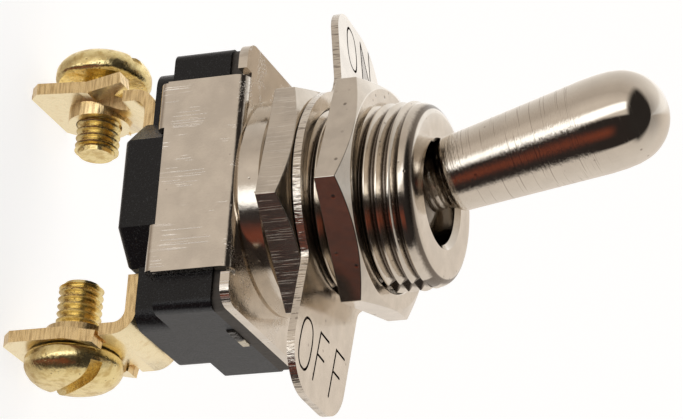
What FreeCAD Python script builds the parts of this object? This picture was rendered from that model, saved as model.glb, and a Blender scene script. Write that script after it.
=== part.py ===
import FreeCAD, Part
import math
import os

os.makedirs("parts", exist_ok=True)
V = FreeCAD.Vector

# Bat-handle toggle switch. Millimetres, +Z along the bushing towards the
# lever's tip, +X towards the OFF end. The origin is on the bushing's axis at
# the front nut's front face, where the free thread starts.

# Housing and the folded frame over it. Half sizes are from the centre line.
HOUSING_HALF_X = 8.88
HOUSING_HALF_Y = 6.0
HOUSING_CORNER_R = 0.7
WIDE_HEIGHT = 3.9
NARROW_HALF_Y = HOUSING_HALF_Y - 2.0
NARROW_CORNER_R = 1.2
FLOOR_THICKNESS = 1.3
PAD_HEIGHT = 0.25
PAD_REACH = HOUSING_HALF_X - 1.68
BLOCK_HALF_X = HOUSING_HALF_X - 3.88
BLOCK_FLAT_HALF_X = BLOCK_HALF_X - 2.0
BLOCK_FLAT_HALF_Y = HOUSING_HALF_Y - 2.05
BLOCK_RISE = 0.9             # past the narrow part's back face
BLOCK_ROUNDING = 0.5
CAVITY_HALF_X = HOUSING_HALF_X - 1.48
CAVITY_HALF_Y = HOUSING_HALF_Y - 1.4
CAVITY_LOWER_HALF_Y = NARROW_HALF_Y - 1.1
STEP_ABOVE_SHOULDER = 0.75
INSULATOR_THICKNESS = 0.85
INSULATOR_HALF_Y = HOUSING_HALF_Y - 0.25

FRAME_SHEET = 0.6
CHEEK_PLAY = 0.05
FRAME_HALF_X = HOUSING_HALF_X
FRAME_HALF_Y = HOUSING_HALF_Y + CHEEK_PLAY + FRAME_SHEET
FRAME_CORNER_R = 1.2
FRAME_BEND = 0.5             # at the sheet's mid-thickness
CHEEK_HALF_X = HOUSING_HALF_X - 2.38
BEND_RELIEF = 0.4
TAB_INNER_X = BLOCK_FLAT_HALF_X + 0.3
TAB_OUTER_X = CHEEK_HALF_X - 0.1
TAB_REACH = 1.7
TAB_GAP = 0.12

LUG_REACH = 1.3
LUG_PROUD = 0.15
LUG_LOW_Y = -2.2
LUG_HIGH_Y = 0.5
LUG_HEIGHT = 0.55

# Bushing and the stack of rings on it.
THREAD_R = 11.9 / 2          # plain cylinder at the thread's major radius
THREAD_DEPTH = 0.26          # inside a nut the threads are drawn at mid-depth
ENGAGED_R = THREAD_R - THREAD_DEPTH
FREE_THREAD = 2.6
LIP_HEIGHT = 0.8             # a full quarter round
LIP_R = THREAD_R - 0.15
LIP_TOP = FREE_THREAD + LIP_HEIGHT
COLLAR_R = FRAME_HALF_Y + 0.25
COLLAR_HEIGHT = 1.6
COLLAR_EDGE = 0.12
STAKE_FLARE = 0.3
KEYWAY_DEPTH = 0.85
KEYWAY_ANGLE = 6.5           # degrees from +X

NUT_WALL = 1.1               # outside the thread, at the middle of a flat
NUT_ACROSS_FLATS = 2 * (THREAD_R + NUT_WALL)
NUT_THICKNESS = 1.95
NUT_PLAY = 0.05              # radial, on the thread
NUT_FACE_R = NUT_ACROSS_FLATS / 2 - 0.1
NUT_CORNER_DROP = 0.62
NUT_ENTRY = 0.3
FRONT_NUT_TURN = math.degrees(3.892)
REAR_NUT_TURN = math.degrees(3.972)

PANEL_GAP = 1.3
PLATE_THICKNESS = 0.5
PLATE_RING_R = THREAD_R + 1.15
PLATE_HOLE_PLAY = 0.15
PLATE_OFF_LENGTH = 14.4      # from the axis, at the middle of the wing's end
PLATE_ON_LENGTH = 14.8
PLATE_HALF_WIDTH = 4.15
PLATE_SHIFT = 0.75           # the wings' middle line, across the plate
PLATE_END_SLANT = 0.2
PLATE_CORNER_R = 2.9
PLATE_NECK_R = 1.1
PLATE_BEND_X = -7.4          # the ON wing is bent back from here
PLATE_BEND = 11.6            # degrees
PLATE_TURN = -12.8
STACK_PLAY = 0.15

# Levels down the bushing's axis, from the front nut to the housing.
FRONT_NUT_BACK = -NUT_THICKNESS
PLATE_FRONT = FRONT_NUT_BACK - PANEL_GAP
PLATE_BACK = PLATE_FRONT - PLATE_THICKNESS
REAR_NUT_FRONT = PLATE_BACK - STACK_PLAY
REAR_NUT_BACK = REAR_NUT_FRONT - NUT_THICKNESS
COLLAR_TOP = REAR_NUT_BACK - STACK_PLAY
FRAME_FRONT = COLLAR_TOP - COLLAR_HEIGHT
FRAME_BACK = FRAME_FRONT - FRAME_SHEET
HOUSING_FRONT = FRAME_BACK - INSULATOR_THICKNESS
SHOULDER = HOUSING_FRONT - WIDE_HEIGHT
PIVOT_Z = FRAME_FRONT + 6.6
PIVOT = V(0, 0, PIVOT_Z)

# Lever, measured along its own axis from the ball's centre.
TILT = 13.85                 # degrees each side of upright
TILT_RAD = math.radians(TILT)
BALL_R = 3.9
BALL_PLAY = 0.04
SEAT_ANGLE = math.radians(25)
SPIGOT_R = BALL_R + 0.95
NECK_R = 1.9
MOUTH_HEIGHT = LIP_TOP - PIVOT_Z
MOUTH_PLAY = 0.158
MOUTH_R = NECK_R / math.cos(TILT_RAD) + MOUTH_HEIGHT * math.tan(TILT_RAD) + MOUTH_PLAY
MOUTH_CHAMFER = 0.32
NECK_END = MOUTH_HEIGHT + 0.1
BAT_START = NECK_END + 0.85
BAT_START_R = 2.42
BAT_WIDE = 14.9
BAT_WIDE_R = 3.06
BAT_TIP = 19.35
TIP_CENTRE = 9.4             # the plunger's round tip
PLUNGER_SHOULDER = TIP_CENTRE - 0.4
PLUNGER_TOP = TIP_CENTRE - 3.4
PLUNGER_PLAY = 0.05
PLUNGER_TRAVEL = 0.5
TIP_R = 0.6
TAIL_R = 1.9
TAIL_END = PLUNGER_SHOULDER - 0.8
TAIL_EDGE = 0.25
BORE_R = 1.2
BORE_TOP = 2.1
PIN_R = 0.6
PIN_HALF_LENGTH = BALL_R + 0.45
PIN_PLAY = 0.06
SPRING_WIRE_R = 0.19
SPRING_COIL_R = 0.85
SPRING_PITCH = 0.95

# Rocker and contacts.
VALLEY_DEPTH = 0.89          # tip centre above the rocker's upper vertex
BLADE = 0.5
STRIP = 0.4
EAR_INNER_Y = CAVITY_LOWER_HALF_Y - 1.05
BLADE_HALF_Y = EAR_INNER_Y - 0.15
STRIP_HALF_Y = BLADE_HALF_Y - 0.2
STUB_R = 0.35
STUB_LIFT = 0.1              # the stubs' axis above the blade's middle
STUB_REACH = EAR_INNER_Y + 0.35
STUB_PLAY = 0.05
ARM = 4.7
ARM_RISE = 16.7              # degrees, rocker level
ROCK = 8.0                   # degrees, each way
BUTTON_AT = ARM - 0.6
BUTTON_R = 0.8
BUTTON_HEIGHT = 0.45
CONTACT_PLAY = 0.05
DOME_R = 2.0
FIXED_R = 0.9
SHELF_DROP = 0.25
EAR_HALF_X = 1.1
EAR_ABOVE_AXIS = 0.34
RIVET_X = CAVITY_HALF_X - 1.55
RIVET_R = 0.7
RIVET_HEAD_R = 1.0
RIVET_HEAD = 0.45
RIVET_TAIL_R = 0.8
RIVET_TAIL = 0.8
RIVET_EDGE = 0.2
HOLE_PLAY = 0.02
POST_X = RIVET_X - 1.65
POST_HALF_X = 0.5
POST_HALF_Y = 0.8
POST_PLAY = 0.2

# Levels of the rocker and of the housing around it.
ROCKER_Z = PIVOT_Z - TIP_CENTRE - VALLEY_DEPTH - BLADE / 2
ROCKER_AXIS = V(0, 0, ROCKER_Z)
CAVITY_STEP = SHOULDER + STEP_ABOVE_SHOULDER
CAVITY_FLOOR = ROCKER_Z - 2.26
STRIP_TOP = CAVITY_FLOOR + STRIP
NARROW_BACK = CAVITY_FLOOR - FLOOR_THICKNESS
PAD_BACK = NARROW_BACK - PAD_HEIGHT
BLOCK_BACK = NARROW_BACK - BLOCK_RISE

# Screw terminals, mirrored, each bent a little differently.
LEG = 0.8
TERMINAL_HALF_Y = NARROW_HALF_Y - 0.66
TERMINAL_LENGTH = 9.55       # from the leg's front face to the square end
TERMINAL_END = PAD_BACK - TERMINAL_LENGTH
LEG_GAP = 0.05
CORNER_CLIP = 0.5
SLIT_DROP = 2.5
SLIT_WIDTH = 0.35
SLIT_INNER_Y = TERMINAL_HALF_Y - 1.34
EAR_LENGTH = 2.2
EAR_LIFT = 11.0              # degrees
EAR_PLAY = 0.2               # around the screw's head
SCREW_DROP = 5.75            # from the leg's front face to the screw's axis
SCREW_Z = PAD_BACK - SCREW_DROP
NECK_COLLAR_R = 2.05
NECK_COLLAR = 0.9

OFF_FLAG_X = HOUSING_HALF_X - 0.28
ON_FLAG_X = OFF_FLAG_X
ON_KNEE_X = ON_FLAG_X - 0.98
ON_KNEE_DROP = 2.9
ON_FLAG_DROP = 5.2
ON_END_X = ON_FLAG_X + 0.3
OFF_BEND = 1.2
ON_BEND = 1.35
ON_SWEEP = 3.0

SCREW_R = 1.475
SCREW_LENGTH = 5.0
SCREW_PLAY = 0.05
SCREW_HEAD_R = 3.2
SCREW_HEAD = 2.0
SCREW_RIM = 0.85
SCREW_CROWN_R = 2.1
SCREW_SLOT = 0.85
SCREW_SLOT_DEPTH = 1.0
OFF_HEAD_X = OFF_FLAG_X + LEG / 2 + 0.08
ON_HEAD_X = ON_FLAG_X + LEG / 2 + 1.15
OFF_SLOT_TURN = 43.0
ON_SLOT_TURN = 20.0


def box(x0, x1, y0, y1, z0, z1):
    return Part.makeBox(x1 - x0, y1 - y0, z1 - z0, V(x0, y0, z0))


def cyl(r, z0, z1, x=0.0, y=0.0):
    return Part.makeCylinder(r, z1 - z0, V(x, y, z0))


def cyl_x(r, x0, x1, z):
    return Part.makeCylinder(r, x1 - x0, V(x0, 0, z), V(1, 0, 0))


def cyl_y(r, half, z, x=0.0):
    return Part.makeCylinder(r, 2 * half, V(x, -half, z), V(0, 1, 0))


def prism(points, z0, z1):
    corners = [V(x, y, z0) for x, y in points]
    face = Part.Face(Part.makePolygon(corners + corners[:1]))
    return face.extrude(V(0, 0, z1 - z0))


def turned(points):
    """Solid of revolution about Z from (radius, z) corners."""
    corners = [V(r, 0, z) for r, z in points]
    face = Part.Face(Part.makePolygon(corners + corners[:1]))
    return face.revolve(V(0, 0, 0), V(0, 0, 1), 360)


def is_upright(edge):
    box_ = edge.BoundBox
    return box_.ZLength > 1e-4 and box_.XLength < 1e-4 and box_.YLength < 1e-4


def round_uprights(shape, radius, keep):
    """Round the edges along Z whose (|x|, |y|) passes the test."""
    chosen = []
    for edge in shape.Edges:
        centre = edge.BoundBox.Center
        if is_upright(edge) and keep(abs(centre.x), abs(centre.y)):
            chosen.append(edge)
    return shape.makeFillet(radius, chosen)


def mirrored(shape):
    return shape.mirror(V(0, 0, 0), V(1, 0, 0))


def unit(a, b):
    dx, dz = b[0] - a[0], b[1] - a[1]
    size = math.hypot(dx, dz)
    return dx / size, dz / size


def bend_arc(a, b, c, radius):
    """Centre, turn sense and tangent points of the bend at b."""
    u, w = unit(a, b), unit(b, c)
    cross = u[0] * w[1] - u[1] * w[0]
    sense = 1 if cross > 0 else -1
    half_turn = math.acos(max(-1.0, min(1.0, u[0] * w[0] + u[1] * w[1]))) / 2
    reach = radius * math.tan(half_turn)
    start = (b[0] - u[0] * reach, b[1] - u[1] * reach)
    end = (b[0] + w[0] * reach, b[1] + w[1] * reach)
    centre = (start[0] - sense * u[1] * radius, start[1] + sense * u[0] * radius)
    return centre, start, end


def offset_side(path, radii, shift):
    """Edges of one side of a bent sheet, shift to the left of its path."""
    edges = []
    u = unit(path[0], path[1])
    here = V(path[0][0] - u[1] * shift, 0, path[0][1] + u[0] * shift)
    for i, radius in enumerate(radii):
        centre, start, end = bend_arc(path[i], path[i + 1], path[i + 2], radius)
        u, w = unit(path[i], path[i + 1]), unit(path[i + 1], path[i + 2])
        first = V(start[0] - u[1] * shift, 0, start[1] + u[0] * shift)
        last = V(end[0] - w[1] * shift, 0, end[1] + w[0] * shift)
        middle = (first + last) / 2
        hub = V(centre[0], 0, centre[1])
        out = (middle - hub).normalize() * (first - hub).Length
        edges.append(Part.makeLine(here, first))
        edges.append(Part.Arc(first, hub + out, last).toShape())
        here = last
    w = unit(path[-2], path[-1])
    tip = V(path[-1][0] - w[1] * shift, 0, path[-1][1] + w[0] * shift)
    edges.append(Part.makeLine(here, tip))
    return edges, tip


def bent_sheet(path, radii, thickness, half_width):
    """Sheet of constant thickness along an x-z path, across y."""
    left, left_tip = offset_side(path, radii, thickness / 2)
    right, right_tip = offset_side(path, radii, -thickness / 2)
    start_left = left[0].Vertexes[0].Point
    start_right = right[0].Vertexes[0].Point
    ends = [Part.makeLine(left_tip, right_tip), Part.makeLine(start_right, start_left)]
    wire = Part.Wire(Part.__sortEdges__(left + right + ends))
    face = Part.Face(wire)
    face.translate(V(0, -half_width, 0))
    return face.extrude(V(0, 2 * half_width, 0))


def keyway(z0, z1):
    """V groove along the thread, open to the lip's foot."""
    reach = THREAD_R + 0.5
    groove = prism([(THREAD_R - KEYWAY_DEPTH, 0), (reach, KEYWAY_DEPTH + 0.5),
                    (reach, -KEYWAY_DEPTH - 0.5)], z0, z1)
    groove.rotate(V(0, 0, 0), V(0, 0, 1), KEYWAY_ANGLE)
    return groove


def lip():
    """Rolled end of the bushing, a quarter round on top of the thread."""
    foot, crest = V(LIP_R, 0, FREE_THREAD), V(LIP_R - LIP_HEIGHT, 0, LIP_TOP)
    bulge = LIP_HEIGHT * math.sqrt(0.5)
    middle = V(crest.x + bulge, 0, FREE_THREAD + bulge)
    edges = [Part.makeLine(V(0, 0, FREE_THREAD), foot), Part.Arc(foot, middle, crest).toShape(),
             Part.makeLine(crest, V(0, 0, LIP_TOP)),
             Part.makeLine(V(0, 0, LIP_TOP), V(0, 0, FREE_THREAD))]
    return Part.Face(Part.Wire(edges)).revolve(V(0, 0, 0), V(0, 0, 1), 360)


def ring_groove(inner_r, outer_r, z0, z1):
    return cyl(outer_r, z0, z1).cut(cyl(inner_r, z0 - 1, z1 + 1))


def bushing_bore():
    """Socket for the ball: a cone that touches it all round, and the mouth."""
    seat_r = BALL_R + BALL_PLAY
    low = FRAME_BACK - STAKE_FLARE - 1
    rise = (1 - math.cos(SEAT_ANGLE)) / math.sin(SEAT_ANGLE) * seat_r
    top = (seat_r - MOUTH_R * math.cos(SEAT_ANGLE)) / math.sin(SEAT_ANGLE)
    bore = turned([(0, low), (seat_r, low), (seat_r, PIVOT_Z + rise), (MOUTH_R, PIVOT_Z + top),
                   (MOUTH_R, LIP_TOP + 1), (0, LIP_TOP + 1)])
    flare = turned([(0, LIP_TOP - MOUTH_CHAMFER), (MOUTH_R, LIP_TOP - MOUTH_CHAMFER),
                    (MOUTH_R + MOUTH_CHAMFER, LIP_TOP), (0, LIP_TOP)])
    slot_r = PIN_R + PIN_PLAY
    slot_reach = PIN_HALF_LENGTH + 2 * PIN_PLAY
    slot = box(-slot_r, slot_r, -slot_reach, slot_reach, low, PIVOT_Z)
    slot = slot.fuse(cyl_y(slot_r, slot_reach, PIVOT_Z))
    slot = slot.common(cyl(slot_reach, low, PIVOT_Z + 1))
    return bore.fuse(flare).fuse(slot)


def bushing():
    collar = cyl(COLLAR_R, FRAME_FRONT, COLLAR_TOP)
    rims = [e for e in collar.Edges if e.BoundBox.ZLength < 1e-6]
    body = collar.makeChamfer(COLLAR_EDGE, rims)
    body = body.fuse(cyl(THREAD_R, COLLAR_TOP, FREE_THREAD))
    for back in (REAR_NUT_BACK, FRONT_NUT_BACK):
        body = body.cut(ring_groove(ENGAGED_R, THREAD_R + 1, back, back + NUT_THICKNESS))
    body = body.fuse(cyl(SPIGOT_R, FRAME_BACK, FRAME_FRONT))
    flare_low = FRAME_BACK - STAKE_FLARE
    flare = turned([(0, flare_low), (SPIGOT_R, flare_low),
                    (SPIGOT_R + STAKE_FLARE, FRAME_BACK), (0, FRAME_BACK)])
    body = body.fuse(flare).cut(keyway(COLLAR_TOP, FREE_THREAD))
    return body.fuse(lip()).cut(bushing_bore()).removeSplitter()


def nut(back, turn):
    front = back + NUT_THICKNESS
    corner_r = NUT_ACROSS_FLATS / math.sqrt(3)
    corners = []
    for k in range(6):
        angle = math.radians(turn + 60 * k)
        corners.append((corner_r * math.cos(angle), corner_r * math.sin(angle)))
    slope = NUT_CORNER_DROP / (corner_r - NUT_FACE_R)
    rim_r = corner_r + 0.2
    rim = front - slope * (rim_r - NUT_FACE_R)
    crown = turned([(0, back), (rim_r, back), (rim_r, rim), (NUT_FACE_R, front), (0, front)])
    bore_r = ENGAGED_R + NUT_PLAY
    entry_r = bore_r + NUT_ENTRY
    bore = turned([(0, back), (entry_r, back), (bore_r, back + NUT_ENTRY),
                   (bore_r, front - NUT_ENTRY), (entry_r, front), (0, front)])
    return prism(corners, back, front).common(crown).cut(bore)


def plate_outline():
    """The plate's plan: a ring with two wings whose ends are a little slanted."""
    low, high = PLATE_SHIFT - PLATE_HALF_WIDTH, PLATE_SHIFT + PLATE_HALF_WIDTH
    lean = PLATE_END_SLANT * PLATE_HALF_WIDTH
    wings = prism([(PLATE_OFF_LENGTH + lean, low), (PLATE_OFF_LENGTH - lean, high),
                   (-PLATE_ON_LENGTH - lean, high), (-PLATE_ON_LENGTH + lean, low)],
                  PLATE_BACK - 6, PLATE_FRONT + 1)
    wings = round_uprights(wings, PLATE_CORNER_R, lambda x, y: True)
    ring = cyl(PLATE_RING_R, PLATE_BACK - 6, PLATE_FRONT + 1)
    plan = wings.fuse(ring).removeSplitter()
    return round_uprights(plan, PLATE_NECK_R, lambda x, y: 4 < x < PLATE_RING_R and y > 3)


def position_plate():
    mid_z = PLATE_BACK + PLATE_THICKNESS / 2
    reach = PLATE_ON_LENGTH + 3
    drop = (reach + PLATE_BEND_X) * math.tan(math.radians(PLATE_BEND))
    path = [(-reach, mid_z - drop), (PLATE_BEND_X, mid_z), (reach, mid_z)]
    plate = bent_sheet(path, [2.0], PLATE_THICKNESS, PLATE_RING_R + 1).common(plate_outline())
    plate = plate.cut(cyl(THREAD_R + PLATE_HOLE_PLAY, PLATE_BACK - 1, PLATE_FRONT + 1))
    plate.rotate(V(0, 0, 0), V(0, 0, 1), PLATE_TURN)
    return plate


def frame_saddle():
    """The folded middle of the frame: top, two bends and two cheeks."""
    mid_z = FRAME_FRONT - FRAME_SHEET / 2
    mid_y = FRAME_HALF_Y - FRAME_SHEET / 2
    path = [(-mid_y, SHOULDER), (-mid_y, mid_z), (mid_y, mid_z), (mid_y, SHOULDER)]
    saddle = bent_sheet(path, [FRAME_BEND, FRAME_BEND], FRAME_SHEET, CHEEK_HALF_X)
    saddle.rotate(V(0, 0, 0), V(0, 0, 1), 90)
    return saddle


def frame_tabs():
    tabs = []
    inner_y = FRAME_HALF_Y - TAB_REACH
    keep_clear = block_prism(TAB_GAP, SHOULDER - FRAME_SHEET - 1, SHOULDER)
    for side in (-1, 1):
        for end in (-1, 1):
            xs = sorted((end * TAB_INNER_X, end * TAB_OUTER_X))
            ys = sorted((side * inner_y, side * FRAME_HALF_Y))
            tab = box(xs[0], xs[1], ys[0], ys[1], SHOULDER - FRAME_SHEET, SHOULDER)
            tab = tab.makeFillet(FRAME_SHEET * 0.9, outer_low_edge(tab, side))
            tabs.append(tab.cut(keep_clear))
    return tabs


def outer_low_edge(tab, side):
    chosen = []
    for edge in tab.Edges:
        room = edge.BoundBox
        outer = abs(room.Center.y - side * FRAME_HALF_Y) < 1e-4 and room.YLength < 1e-4
        if outer and room.ZLength < 1e-4 and room.Center.z < SHOULDER - 0.1:
            chosen.append(edge)
    return chosen


def frame():
    inner_y = FRAME_HALF_Y - FRAME_SHEET / 2 - FRAME_BEND
    sheet = box(-FRAME_HALF_X, FRAME_HALF_X, -FRAME_HALF_Y, FRAME_HALF_Y, FRAME_BACK, FRAME_FRONT)
    sheet = round_uprights(sheet, FRAME_CORNER_R, lambda x, y: True)
    relief_x = CHEEK_HALF_X + BEND_RELIEF
    for side in (-1, 1):
        ys = sorted((side * inner_y, side * (FRAME_HALF_Y + 1)))
        sheet = sheet.cut(box(-relief_x, relief_x, ys[0], ys[1], FRAME_BACK - 1, FRAME_FRONT + 1))
    body = sheet.fuse(frame_saddle())
    for tab in frame_tabs():
        body = body.fuse(tab)
    return body.cut(cyl(SPIGOT_R, FRAME_BACK - 1, FRAME_FRONT + 1)).removeSplitter()


def insulator_sheet():
    sheet = box(-HOUSING_HALF_X, HOUSING_HALF_X, -INSULATOR_HALF_Y, INSULATOR_HALF_Y,
                HOUSING_FRONT, FRAME_BACK)
    sheet = round_uprights(sheet, HOUSING_CORNER_R, lambda x, y: True)
    hole_r = SPIGOT_R + STAKE_FLARE + PLATE_HOLE_PLAY
    return sheet.cut(cyl(hole_r, HOUSING_FRONT - 1, FRAME_BACK + 1))


def block_prism(grow, z0, z1):
    """The raised block's plan, with a cut corner for each crimped tab."""
    quarter = [(BLOCK_FLAT_HALF_X + grow / 2, HOUSING_HALF_Y),
               (BLOCK_HALF_X + grow, BLOCK_FLAT_HALF_Y)]
    points = []
    points += [(x, y) for x, y in quarter]
    points += [(x, -y) for x, y in reversed(quarter)]
    points += [(-x, -y) for x, y in quarter]
    points += [(-x, y) for x, y in reversed(quarter)]
    return prism(points, z0, z1)


def housing_block():
    block = block_prism(0.0, BLOCK_BACK, SHOULDER)
    rim = [e for e in block.Edges if abs(e.BoundBox.ZMax - BLOCK_BACK) < 1e-6]
    return block.makeFillet(BLOCK_ROUNDING, rim)


def housing_cavity():
    upper = box(-CAVITY_HALF_X, CAVITY_HALF_X, -CAVITY_HALF_Y, CAVITY_HALF_Y,
                CAVITY_STEP, HOUSING_FRONT + 1)
    lower = box(-CAVITY_HALF_X, CAVITY_HALF_X, -CAVITY_LOWER_HALF_Y, CAVITY_LOWER_HALF_Y,
                CAVITY_FLOOR, CAVITY_STEP)
    return upper.fuse(lower)


def off_stop():
    """Post that the rocker's idle arm comes down to."""
    slope = math.radians(ARM_RISE - ROCK)
    inner_x = POST_X - POST_HALF_X
    under = ROCKER_Z + inner_x * math.tan(slope) - BLADE / 2 / math.cos(slope)
    return box(-POST_X - POST_HALF_X, -POST_X + POST_HALF_X, -POST_HALF_Y, POST_HALF_Y,
               CAVITY_FLOOR, under - POST_PLAY)


def housing():
    wide = box(-HOUSING_HALF_X, HOUSING_HALF_X, -HOUSING_HALF_Y, HOUSING_HALF_Y,
               SHOULDER, HOUSING_FRONT)
    wide = round_uprights(wide, HOUSING_CORNER_R, lambda x, y: True)
    narrow = box(-HOUSING_HALF_X, HOUSING_HALF_X, -NARROW_HALF_Y, NARROW_HALF_Y,
                 NARROW_BACK, SHOULDER)
    narrow = round_uprights(narrow, NARROW_CORNER_R, lambda x, y: True)
    pads = box(-PAD_REACH, PAD_REACH, -TERMINAL_HALF_Y, TERMINAL_HALF_Y, PAD_BACK, NARROW_BACK)
    body = wide.fuse(narrow).fuse(pads).fuse(housing_block())
    body = body.cut(housing_cavity()).fuse(off_stop())
    for x in (-RIVET_X, RIVET_X):
        body = body.cut(cyl(RIVET_R + HOLE_PLAY, PAD_BACK - 1, CAVITY_FLOOR + 1, x))
    return body.cut(end_lug()).removeSplitter()


def end_lug():
    lug = box(HOUSING_HALF_X - LUG_REACH, HOUSING_HALF_X + LUG_PROUD, LUG_LOW_Y, LUG_HIGH_Y,
              HOUSING_FRONT - LUG_HEIGHT, HOUSING_FRONT)
    edges = [e for e in lug.Edges if abs(e.BoundBox.XMin - HOUSING_HALF_X - LUG_PROUD) < 1e-6]
    return lug.makeFillet(0.1, edges)


def bat_crown():
    """The bat's half outline from its widest part: a slack bow, then a round cap."""
    height = BAT_TIP - BAT_WIDE
    shoulder = V(BAT_WIDE_R * 0.94, 0, BAT_WIDE + height * 0.52)
    bow = [V(BAT_WIDE_R, 0, BAT_WIDE), V(BAT_WIDE_R + 0.01, 0, BAT_WIDE + height * 0.2),
           V(BAT_WIDE_R * 0.985, 0, BAT_WIDE + height * 0.38), shoulder]
    drop = BAT_TIP - shoulder.z
    cap_r = (shoulder.x ** 2 + drop ** 2) / (2 * drop)
    start = math.atan2(cap_r - drop, shoulder.x)
    half_way = (start + math.pi / 2) / 2
    crown = V(cap_r * math.cos(half_way), 0, BAT_TIP - cap_r * (1 - math.sin(half_way)))
    edges = [Part.makeLine(a, b) for a, b in zip(bow, bow[1:])]
    return edges + [Part.Arc(shoulder, crown, V(0, 0, BAT_TIP)).toShape()]


def lever_upright():
    start = V(BAT_START_R, 0, BAT_START)
    neck = V(NECK_R, 0, NECK_END)
    foot = V(NECK_R, 0, 0)
    edges = [Part.makeLine(V(0, 0, 0), foot), Part.makeLine(foot, neck),
             Part.makeLine(neck, start), Part.makeLine(start, V(BAT_WIDE_R, 0, BAT_WIDE))]
    edges += bat_crown() + [Part.makeLine(V(0, 0, BAT_TIP), V(0, 0, 0))]
    bat = Part.Face(Part.Wire(edges)).revolve(V(0, 0, 0), V(0, 0, 1), 360)
    tail = cyl(TAIL_R, -TAIL_END, 0)
    low = [e for e in tail.Edges if abs(e.BoundBox.ZMax + TAIL_END) < 1e-6]
    tail = tail.makeChamfer(TAIL_EDGE, low)
    body = Part.makeSphere(BALL_R).fuse(bat).fuse(tail)
    body = body.cut(cyl(BORE_R, -TAIL_END - 1, -BORE_TOP))
    return body.cut(cyl_y(PIN_R + HOLE_PLAY, BALL_R + 1, 0)).removeSplitter()


def spring_upright():
    length = PLUNGER_TOP - BORE_TOP - PLUNGER_TRAVEL
    rise = length - 2 * SPRING_WIRE_R - 0.1
    helix = Part.makeHelix(SPRING_PITCH, rise, SPRING_COIL_R)
    low, high = SPRING_COIL_R - SPRING_WIRE_R, SPRING_COIL_R + SPRING_WIRE_R
    half = SPRING_WIRE_R * 0.8
    corners = [V(low, 0, -half), V(high, 0, -half), V(high, 0, half), V(low, 0, half)]
    section = Part.makePolygon(corners + corners[:1])
    coil = Part.Wire(helix).makePipeShell([section], True, True)
    coil.translate(V(0, 0, -BORE_TOP - SPRING_WIRE_R - 0.05 - rise))
    return coil


def plunger_upright():
    radius = BORE_R - PLUNGER_PLAY
    stem = cyl(radius, -PLUNGER_SHOULDER, -PLUNGER_TOP)
    nose = turned([(0, -PLUNGER_SHOULDER), (radius, -PLUNGER_SHOULDER),
                   (TIP_R, -TIP_CENTRE), (0, -TIP_CENTRE)])
    return stem.fuse(nose).fuse(Part.makeSphere(TIP_R, V(0, 0, -TIP_CENTRE))).removeSplitter()


def tilted(shape):
    """From the lever's upright frame to its place, thrown towards ON."""
    placed = shape.copy()
    placed.rotate(V(0, 0, 0), V(0, 1, 0), -TILT)
    placed.translate(PIVOT)
    return placed


def rocked(shape):
    """From the level rocker's frame to its place, ON arm down."""
    placed = shape.copy()
    placed.rotate(V(0, 0, 0), V(0, 1, 0), ROCK)
    placed.translate(ROCKER_AXIS)
    return placed


def rocker_level():
    rise = math.radians(ARM_RISE)
    end = (ARM * math.cos(rise), ARM * math.sin(rise))
    path = [(-end[0], end[1]), (0, 0), end]
    blade = bent_sheet(path, [0.6], BLADE, BLADE_HALF_Y)
    return blade.fuse(cyl_y(STUB_R, STUB_REACH, STUB_LIFT)).removeSplitter()


def button_level():
    button = cyl(BUTTON_R, -BLADE / 2 - BUTTON_HEIGHT, -BLADE / 2, BUTTON_AT)
    button.rotate(V(0, 0, 0), V(0, 1, 0), -ARM_RISE)
    return button


def fixed_contact():
    """Domed contact under the closed button, a hair's breadth away."""
    slope = math.radians(ARM_RISE - ROCK)
    depth = BLADE / 2 + BUTTON_HEIGHT + DOME_R + CONTACT_PLAY
    x = BUTTON_AT * math.cos(slope) + depth * math.sin(slope)
    z = ROCKER_Z + BUTTON_AT * math.sin(slope) - depth * math.cos(slope)
    low = z + DOME_R - SHELF_DROP * 2
    return Part.makeSphere(DOME_R, V(x, 0, z)).common(cyl(FIXED_R, low, z + DOME_R + 1, x)), low, x


def fixed_strip(shelf_top, contact_x):
    """C-shaped strip from the rivet up and over to the fixed contact."""
    outer_x = CAVITY_HALF_X - 0.35
    low, high = CAVITY_FLOOR + STRIP / 2, shelf_top - STRIP / 2
    path = [(RIVET_X - RIVET_HEAD_R, low), (outer_x, low), (outer_x, high),
            (contact_x - FIXED_R - 0.2, high)]
    strip = bent_sheet(path, [0.3, 0.3], STRIP, STRIP_HALF_Y)
    return strip.cut(cyl(RIVET_R + HOLE_PLAY, CAVITY_FLOOR - 1, STRIP_TOP + 0.01, RIVET_X))


def cradle():
    """Floor strip with a pair of notched ears that carry the rocker."""
    far_x = RIVET_X + RIVET_HEAD_R
    outer_y = EAR_INNER_Y + STRIP
    base = box(-far_x, EAR_HALF_X, -outer_y, outer_y, CAVITY_FLOOR, STRIP_TOP)
    ear_top = ROCKER_Z + EAR_ABOVE_AXIS
    for side in (-1, 1):
        ys = sorted((side * EAR_INNER_Y, side * outer_y))
        base = base.fuse(box(-EAR_HALF_X, EAR_HALF_X, ys[0], ys[1], CAVITY_FLOOR, ear_top))
    notch_r = STUB_R + STUB_PLAY
    axis_z = ROCKER_Z + STUB_LIFT
    notch = cyl_y(notch_r, outer_y + 1, axis_z)
    notch = notch.fuse(box(-notch_r, notch_r, -outer_y - 1, outer_y + 1, axis_z, ear_top + 1))
    window = box(-POST_X - POST_HALF_X - 0.2, -POST_X + POST_HALF_X + 0.2,
                 -POST_HALF_Y - 0.2, POST_HALF_Y + 0.2, CAVITY_FLOOR - 1, STRIP_TOP + 1)
    hole = cyl(RIVET_R + HOLE_PLAY, CAVITY_FLOOR - 1, STRIP_TOP + 1, -RIVET_X)
    return base.cut(notch).cut(window).cut(hole).removeSplitter()


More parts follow.
